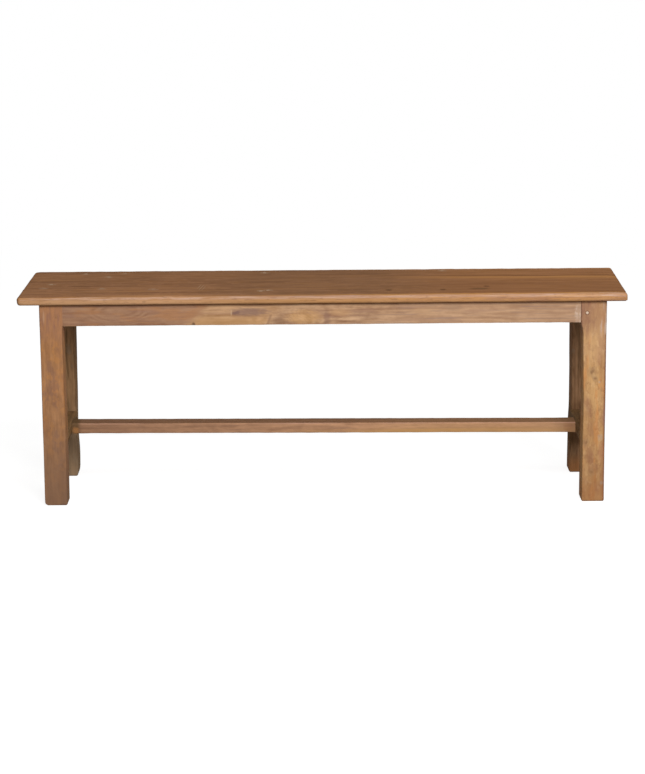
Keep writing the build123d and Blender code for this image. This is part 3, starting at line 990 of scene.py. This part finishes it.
seat_low, seat_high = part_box("seat_plank")
seat_corners = ((-1, 1, 0.017, 7), (-1, -1, 0.01, 5), (1, 1, 0.009, 5), (1, -1, 0.0055, 5))
seat_half_length = 0.65
seat_skew = 0.004
seat_top_round = 0.0068
seat_bottom_round = 0.0045
seat_lower_half = 0.009
seat_row = 0.0075
seat_wander = 0.0007
seat_wear = 0.001
filled_hole_shares = (
    (-0.811, 0.747), (-0.728, 0.487), (-0.676, 0.75), (-0.909, -0.042), (-0.926, -0.338),
    (-0.734, -0.395), (-0.561, -0.474), (-0.198, 0.738), (-0.204, -0.649), (-0.181, -0.604),
    (0.411, 0.793))
faint_plug_shares = ((-0.926, -0.338), (-0.734, -0.395), (-0.561, -0.474), (-0.676, 0.75))
open_hole_shares = ((0.395, -0.644), (0.217, -0.651), (0.542, -0.422))
hole_depths_and_radii = ((filled_hole_shares, 0.005, 0.004), (open_hole_shares, 0.006, 0.0019))
screw_radius = 0.0022
screw_reach = 0.011
screw_setback = 0.013
crack_row = 0.012


def hole_place(shares):
    return shares[0] * seat_half_length, shares[1] * seat_high.y


def rim_gap(place):
    """How far a point of the plank is from the nearest edge."""
    slant = seat_skew * (place.y - seat_low.y) / (seat_high.y - seat_low.y)
    from_left = place.x - seat_low.x - slant
    from_right = seat_high.x - seat_skew - place.x + slant
    return min(from_left, from_right, seat_high.y - abs(place.y))


def screw_places():
    """X and Y of each screw that holds the seat down."""
    inner_x, inner_y = (outer - apron_thickness - screw_setback for outer in (leg_outer_x, leg_outer_y))
    places = [(share * leg_inner_x, y) for share in long_button_shares for y in (-inner_y, inner_y)]
    return places + [(-inner_x, 0.0), (inner_x, 0.0)]


def crack_tool(start, stop, y, width, depth):
    """A splinter that leaves a crack in the top face, thin at both ends."""
    tool = start_block(
        "tool", Vector((start, y - width / 2, seat_high.z - depth)),
        Vector((stop, y + width / 2, seat_high.z + tool_over)))
    rows = even_places(start, stop, crack_row)
    slice_at(X, rows)
    wobble = iter((0.0, 0.0007, -0.0004, 0.0009, 0.0002, -0.0006, 0.0005, 0.0))
    for place in [start] + rows + [stop]:
        pick(tool, "VERT", lambda point: abs(point.x - place) < hair)
        thin = 0.15 if place in (start, stop) else 1.0
        bpy.ops.transform.resize(value=(1, thin, 1), center_override=(place, y, seat_high.z))
        bpy.ops.transform.translate(value=(0, next(wobble, 0.0), 0))
    end_block()
    return tool


def make_seat():
    seat = start_block("waxed_plank", seat_low, seat_high)
    for side, end in ((-1, 1), (1, -1)):
        pick(seat, "VERT", lambda point: side * point.x > 0 and end * point.y > 0)
        bpy.ops.transform.translate(value=(-side * seat_skew, 0, 0))
    for side, end, radius, segments in seat_corners:
        ease(seat, lambda middle, line: runs_along(line, Z) and side * middle.x > 0
             and end * middle.y > 0, radius, segments)
    ease(seat, lambda middle, line: middle.z > seat_high.z - hair, seat_top_round, 4)
    ease(seat, lambda middle, line: middle.z < seat_low.z + hair, seat_bottom_round, 3)
    slice_at(Y, even_places(seat_low.y, seat_high.y, seat_row))
    slice_at(X, even_places(seat_low.x, seat_high.x, seat_row))
    for from_edge, fall in ((0.0068, 0.0016), (0.0075, 0.0014), (0.015, 0.0004)):
        pick(seat, "VERT", lambda point: point.z > seat_high.z - hair / 10
             and abs(point.y - seat_low.y - from_edge) < 3 * hair)
        bpy.ops.transform.translate(value=(0, 0, -fall))
    for side, worn_rounder, reach in ((-1, 1.25, 0.01), (-1, 1.25, 0.018), (-1, 1.15, 0.026),
                                      (1, 0.72, 0.01), (1, 0.72, 0.018)):
        pick(seat, "VERT", lambda point: side * point.x > seat_high.x - reach
             and point.z < seat_low.z + seat_lower_half)
        bpy.ops.transform.resize(value=(1, 1, worn_rounder), center_override=(0, 0, seat_low.z))
    end_block()
    plug_places = [hole_place(shares) for shares in filled_hole_shares]

    def face_weight(place):
        if place.z < seat_low.z + hair:
            return 0.0
        near = min(math.dist(place.xy, plug) for plug in plug_places)
        calm = min(1.0, max(0.0, (near - 0.008) / 0.03))
        return calm * (0.35 if rim_gap(place) > 0.02 else 1.0)

    def arris_weight(place):
        return 1.0 if rim_gap(place) < 0.012 and place.z > seat_low.z + hair else 0.0

    weather(seat, 0.1, seat_wander, face_weight)
    weather(seat, 0.022, seat_wear, arris_weight)
    tools = []
    for all_shares, depth, radius in hole_depths_and_radii:
        for shares in all_shares:
            tools.append(bore_tool((*hole_place(shares), seat_high.z), Z, -depth, radius))
    for place in screw_places():
        tools.append(bore_tool((*place, seat_low.z), Z, screw_reach, screw_radius))
    tools.append(crack_tool(-0.564, -0.483, -0.03, 0.0008, 0.0025))
    cut_out(seat, tools)
    return seat


def seat_wood():
    wood = Wood("seat_wood", X, 13.1)
    wood.lay_grain(
        (174, 126, 91), (142, 101, 72), (-0.02, 0.405), (0.05, 0.006), 0.0095, 0.16, 0.014, (), 2.2)
    wood.zone(0.16, 0.03, 0.0, 0.14, 0.35, (122, 88, 62))
    wood.zone(0.07, 0.05, 0.02, 0.16, 0.3, (166, 116, 74))
    wood.zone(0.022, 0.014, 0.02, 0.16, 0.35, (184, 132, 96))
    wood.zone(0.28, 0.012, 0.02, 0.14, 0.35, (190, 136, 86))
    middle_part = (wood.length - 0.01).size().fall(0.12, 0.34)
    wood.tint(middle_part * 0.3, (124, 94, 70))
    gold = wood.length.ramp(0.08, 0.38)
    wood.tint(gold * 0.45, (178, 123, 79))
    from_line = wood.side - 0.0767 + wood.length * 0.024 + wood.streaks(0.12, 0.03, 2.0) * 0.02
    wood.tint(gold * from_line.size().fall(0.0, 0.008) * 0.55, (112, 76, 50))
    golden_band = from_line.ramp(-0.05, -0.022) * from_line.fall(-0.014, -0.004)
    wood.tint(gold * golden_band * 0.6, (200, 142, 86))
    wood.tint(gold * from_line.fall(-0.1, -0.06) * 0.3, (126, 86, 60))
    brown_streaks = wood.streaks(0.2, 0.009).ramp(0.0, 0.14)
    wood.tint(gold * brown_streaks * 0.25, (120, 80, 54))
    smear = wood.streaks(0.01, 0.006).ramp(-0.08, 0.08)
    for shares in filled_hole_shares:
        plug_ring = wood.spot((*hole_place(shares), 0), (0.014, 0.016, None), 0.5)
        wood.tint(plug_ring * smear * 0.7, (176, 144, 116))
    for shares in open_hole_shares:
        hole_ring = wood.spot((*hole_place(shares), 0), (0.009, 0.012, None), 0.5)
        wood.tint(hole_ring * 0.5, (78, 56, 40))
    crack = wood.spot((-0.516, -0.034, 0), (0.05, 0.005, None), 0.5)
    wood.tint(crack * 0.5, (84, 60, 44))
    scratch_line = wood.length + wood.side * -0.12
    scratch = wood.spot((-0.262, -0.06, 0), (0.012, 0.045, None))
    strokes = (scratch_line * 160).wave().ramp(0.75, 0.95)
    wood.tint(scratch * strokes * 0.7, (180, 150, 122))
    stain = wood.spot((0.335, -0.101, 0), (0.028, 0.016, None), 1.2)
    wood.tint(stain * 0.5, (94, 74, 52))
    slant = (wood.side - seat_low.y) * (seat_skew / (seat_high.y - seat_low.y))
    from_left = wood.length - seat_low.x - slant
    from_right = seat_high.x - seat_skew - wood.length + slant
    end_grain = 1 - from_left.ramp(0.001, 0.007) * from_right.ramp(0.001, 0.007)
    wood.tint(end_grain * 0.6, (112, 78, 56))
    from_edge = seat_high.y - wood.side.size() + wood.streaks(0.06, 0.02) * 0.01
    from_edge = from_edge - wood.length * 0.009
    gold_line = from_edge.fall(0.009, 0.016) * (wood.length.ramp(-0.2, 0.35) * 0.4 + 0.3)
    wood.tint(gold_line, (210, 150, 84))
    # The band round the long edges of the plank: their wear and colour, and on the upper round a painted
    # highlight
    edge_wear_and_sheen = from_edge.fall(0.006, 0.01)
    upper = (wood.rise + wood.streaks(0.08, 0.02, 2.0) * 0.004).ramp(0.447, 0.4515)
    streaky = wood.streaks(0.06, 0.0016).ramp(-0.1, 0.12)
    # Painted highlight: pale pinkish streaks on the upper round of the nose
    wood.tint(edge_wear_and_sheen * upper * (streaky * 0.75 + 0.15), (208, 170, 146))
    lower = 1 - upper
    wood.tint(edge_wear_and_sheen * lower * (streaky * 0.5 + 0.35), (200, 150, 104))
    pale_left = wood.length.fall(-0.4, -0.1)
    wood.tint(edge_wear_and_sheen * lower * pale_left * 0.4, (220, 174, 136))
    dusk = edge_wear_and_sheen * wood.streaks(0.09, 0.003).ramp(-0.12, 0.08)
    wood.tint(dusk * lower * wood.length.ramp(0.0, 0.4) * 0.6, (158, 114, 94))
    wood.tint(dusk * upper * wood.length.ramp(-0.28, -0.05) * 0.4, (158, 118, 104))
    flecks = wood.streaks(0.014, 0.0022).ramp(0.05, 0.18)
    wood.tint(edge_wear_and_sheen * flecks * 0.4, (136, 96, 76))
    polished = wood.streaks(0.12, 0.02, 2.0).ramp(-0.15, 0.15) * 0.3
    return wood.finish(0.3, edge_wear_and_sheen * upper * polished + 0.02)


dress(make_seat(), seat_wood(), "seat_plank")

# Hole plugs. Short round plugs of paler wood glued into the old nail holes and planed flush.

filler = Wood("filler_wood", X, 15.2)
filler.lay_grain((216, 186, 158), (170, 138, 108), (0.0, 0.4), (0.03, 0.02), 0.0021, 0.3, 0.004)
for shares in faint_plug_shares:
    faint_plug = filler.spot((*hole_place(shares), 0), (0.014, 0.014, None))
    filler.tint(faint_plug * 0.65, (158, 118, 90))


def repaint(node, material):
    """Gives a node of the CAD part its finish."""
    for material_slot in bpy.data.objects[node].material_slots:
        material_slot.material = material


repaint("seat_hole_plugs", filler.finish(0.2))

# Seat buttons and screws. Small wooden blocks whose tongues sit in slots of the aprons, each
# drawn up to the seat by a slotted steel screw, so that the plank can shrink and swell.

button_wood = Wood("button_wood", X, 16.4)
button_wood.lay_grain((190, 148, 110), (140, 104, 78), (0.02, 0.4), (0.03, 0.02), 0.003, 0.3, 0.004)
button_finish = button_wood.finish()

steel = Wood("screw_steel", Z, 17.8)
steel_wear = steel.streaks(0.004, 0.004)
turning = steel.streaks(0.0004, 0.02, 1.0)
steel_relief = steel.node("Bump", {"Strength": 0.25, "Distance": 0.0002, "Height": turning + steel_wear})
steel_colour = steel.mix(steel_wear.ramp(0.02, 0.16), (176, 172, 164), (122, 98, 78))
steel_surface = steel.node("BsdfPrincipled",
                           {"Base Color": steel_colour, "Metallic": 1.0,
                            "Roughness": steel_wear * 0.5 + 0.42, "Normal": steel_relief})
steel.node("OutputMaterial", {0: steel_surface})

for node_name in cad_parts:
    if node_name.startswith("seat_button_"):
        repaint(node_name, button_finish)
    elif node_name.startswith("seat_screw_"):
        repaint(node_name, steel.owner)

# Floor, light and camera. A seamless white floor that keeps the bench's soft shadow, one large
# soft light in front and a little to the right, and an even pale surround.

floor_reach = 60.0
floor = box_tool((-floor_reach, floor_reach), (-floor_reach, floor_reach), (-0.05, 0.0))
floor.name = "floor"
paper = Finish(bpy.data.materials.new("floor_paper"))


def seen_as_background(finish):
    """1 for rays that show the background itself, 0 for those that carry its light."""
    ways = [finish.node("LightPath", {}, ray)
            for ray in ("Is Camera Ray", "Is Glossy Ray", "Is Transmission Ray")]
    return ways[0].most(ways[1]).most(ways[2])


matt = paper.node("BsdfDiffuse", {"Color": (0.4, 0.4, 0.4, 1.0)})
glow = paper.node("Emission", {"Strength": 0.86})
white = paper.node("Emission", {"Strength": 1.0})
lit = paper.node("AddShader", {0: matt, 1: glow})
floor_place = paper.node("TexCoord", {}, "Object")
floor_distance = paper.node("VectorMath", {0: floor_place}, "Value", operation="LENGTH")
paper_seen = paper.node("MixShader", {0: floor_distance.ramp(1.2, 3.5), 1: lit, 2: white})
floor_surface = paper.node("MixShader", {0: seen_as_background(paper), 1: matt, 2: paper_seen})
paper.node("OutputMaterial", {0: floor_surface})
floor.data.materials.clear()
floor.data.materials.append(paper.owner)
floor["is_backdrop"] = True

bpy.context.scene.world = bpy.data.worlds.new("surround")
surround = Finish(bpy.context.scene.world)
dim = surround.node("Background", {"Color": (1, 1, 1, 1), "Strength": 0.3})
white = surround.node("Background", {"Color": (1, 1, 1, 1), "Strength": 1.0})
choice = surround.node("MixShader", {0: seen_as_background(surround), 1: dim, 2: white})
surround.node("OutputWorld", {0: choice})

light_place = Vector((0.7, -2.65, 2.0))
light_aim = Vector((0.1, 0, 0.25))
bpy.ops.object.light_add(type="AREA", location=light_place)
lamp = bpy.context.object
lamp.name = "front_light"
lamp.data.shape = "RECTANGLE"
lamp.data.size = lamp.data.size_y = 1.8
lamp.data.energy = 78
lamp.rotation_euler = (light_aim - light_place).to_track_quat("-Z", "Y").to_euler()

camera_place = (-0.0132, -5.3926, 1.3748)
camera_pitch = 12.062
camera_turn = -0.117
camera_roll = -0.426

bpy.ops.object.camera_add(location=camera_place)
camera = bpy.context.object
camera.data.sensor_fit = "HORIZONTAL"
camera.data.sensor_width = 36
camera.data.lens = 139.93
camera.data.clip_end = 200
camera.rotation_euler = (math.radians(90 - camera_pitch), 0, math.radians(camera_turn))
camera.rotation_euler.rotate_axis("Z", math.radians(camera_roll))
bpy.context.scene.camera = camera
bpy.context.scene.view_settings.view_transform = "Standard"

boxes = [[list(corner) for corner in box] for box in (cad_box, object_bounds())]
